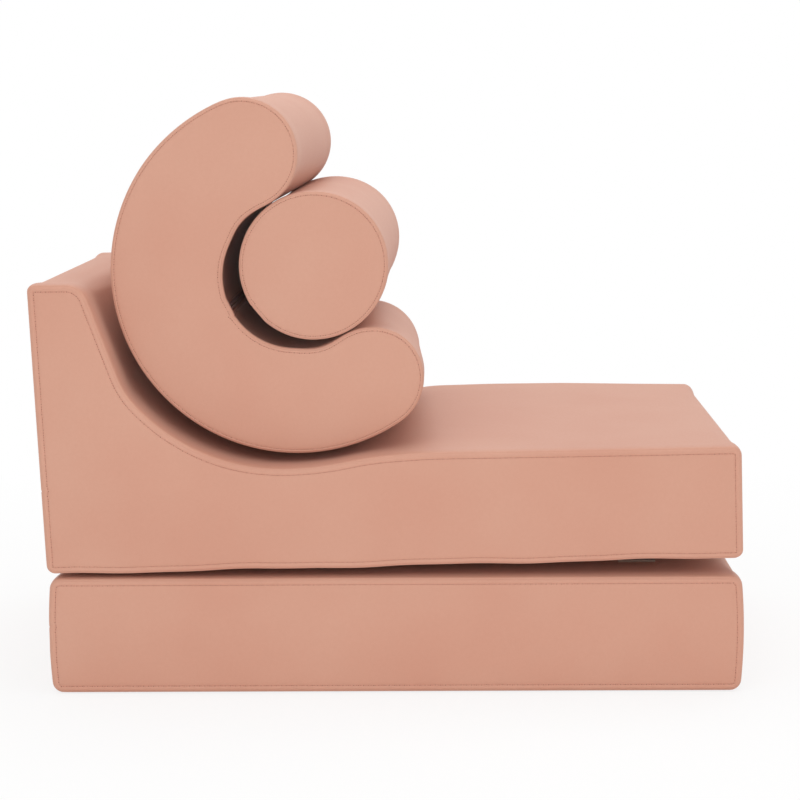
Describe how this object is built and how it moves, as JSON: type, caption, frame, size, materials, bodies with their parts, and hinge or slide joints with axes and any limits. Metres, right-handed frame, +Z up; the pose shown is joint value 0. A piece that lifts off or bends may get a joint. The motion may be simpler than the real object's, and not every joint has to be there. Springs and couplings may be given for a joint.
{
  "type": "modular foam play sofa",
  "caption": "Children's modular play sofa: a mattress base and a seat with a dished back, carrying a half-moon bolster that holds a roll between its tips; sewn covers with zips.",
  "frame": {"origin": "middle of the underside of the base mattress, on the floor", "axes": "+X from the backrest to the front of the seat, +Y across the width away from the side the sofa is looked at from, +Z up"},
  "size_m": [0.9346, 0.6, 0.7833],
  "materials": {
    "faux_leather": "satin",
    "foam": "matte",
    "zip_tape": "matte",
    "zip_slider": "satin",
    "zip_pull": "satin",
    "hook_tape": "matte",
    "loop_tape": "matte"
  },
  "bodies": {
    "base": {"base_cover": "faux_leather", "base_foam": "foam", "base_zip_tape_upper": "zip_tape", "base_zip_tape_lower": "zip_tape", "base_hook_patches": "hook_tape"},
    "base_slider": {"base_zip_slider": "zip_slider"},
    "base_pull": {"base_zip_pull": "zip_pull"},
    "seat": {"seat_cover": "faux_leather", "seat_foam": "foam", "seat_zip_tape_upper": "zip_tape", "seat_zip_tape_lower": "zip_tape", "seat_loop_patches": "loop_tape", "dish_hook_patches": "hook_tape"},
    "seat_slider": {"seat_zip_slider": "zip_slider"},
    "seat_pull": {"seat_zip_pull": "zip_pull"},
    "half_moon": {"half_moon_cover": "faux_leather", "half_moon_foam": "foam", "half_moon_zip_tape_upper": "zip_tape", "half_moon_zip_tape_lower": "zip_tape", "half_moon_loop_patches": "loop_tape"},
    "half_moon_slider": {"half_moon_zip_slider": "zip_slider"},
    "half_moon_pull": {"half_moon_zip_pull": "zip_pull"},
    "roll": {"roll_cover": "faux_leather", "roll_foam": "foam", "roll_zip_tape_upper": "zip_tape", "roll_zip_tape_lower": "zip_tape"},
    "roll_slider": {"roll_zip_slider": "zip_slider"},
    "roll_pull": {"roll_zip_pull": "zip_pull"}
  },
  "joints": [
    {"name": "seat_lift", "type": "slide", "parent": "base", "child": "seat", "axis": [0, 0, 1], "range_m": [0, 0.25]},
    {"name": "half_moon_lift", "type": "slide", "parent": "seat", "child": "half_moon", "axis": [0, 0, 1], "range_m": [0, 0.3]},
    {"name": "roll_draw", "type": "slide", "parent": "half_moon", "child": "roll", "axis": [0, -1, 0], "range_m": [0, 0.6]},
    {"name": "base_zip_run", "type": "slide", "parent": "base", "child": "base_slider", "axis": [0, -1, 0], "range_m": [0, 0.41]},
    {"name": "base_pull_swing", "type": "hinge", "parent": "base_slider", "child": "base_pull", "pos_m": [-0.4632, 0.206, 0.078], "axis": [0, 0, 1], "range_deg": [0, 160]},
    {"name": "seat_zip_run", "type": "slide", "parent": "seat", "child": "seat_slider", "axis": [0, -1, 0], "range_m": [0, 0.41]},
    {"name": "seat_pull_swing", "type": "hinge", "parent": "seat_slider", "child": "seat_pull", "pos_m": [-0.46754, 0.206, 0.25986], "axis": [-0.0388, 0, 0.9992], "range_deg": [0, 160]},
    {"name": "half_moon_zip_run", "type": "slide", "parent": "half_moon", "child": "half_moon_slider", "axis": [0, -1, 0], "range_m": [0, 0.41]},
    {"name": "half_moon_pull_swing", "type": "hinge", "parent": "half_moon_slider", "child": "half_moon_pull", "pos_m": [-0.21366, 0.206, 0.5081], "axis": [0.4384, 0, -0.8988], "range_deg": [0, 160]},
    {"name": "roll_zip_run", "type": "slide", "parent": "roll", "child": "roll_slider", "axis": [0, -1, 0], "range_m": [0, 0.41]},
    {"name": "roll_pull_swing", "type": "hinge", "parent": "roll_slider", "child": "roll_pull", "pos_m": [-0.18125, 0.206, 0.49861], "axis": [-0.6428, 0, 0.766], "range_deg": [0, 160]}
  ]
}
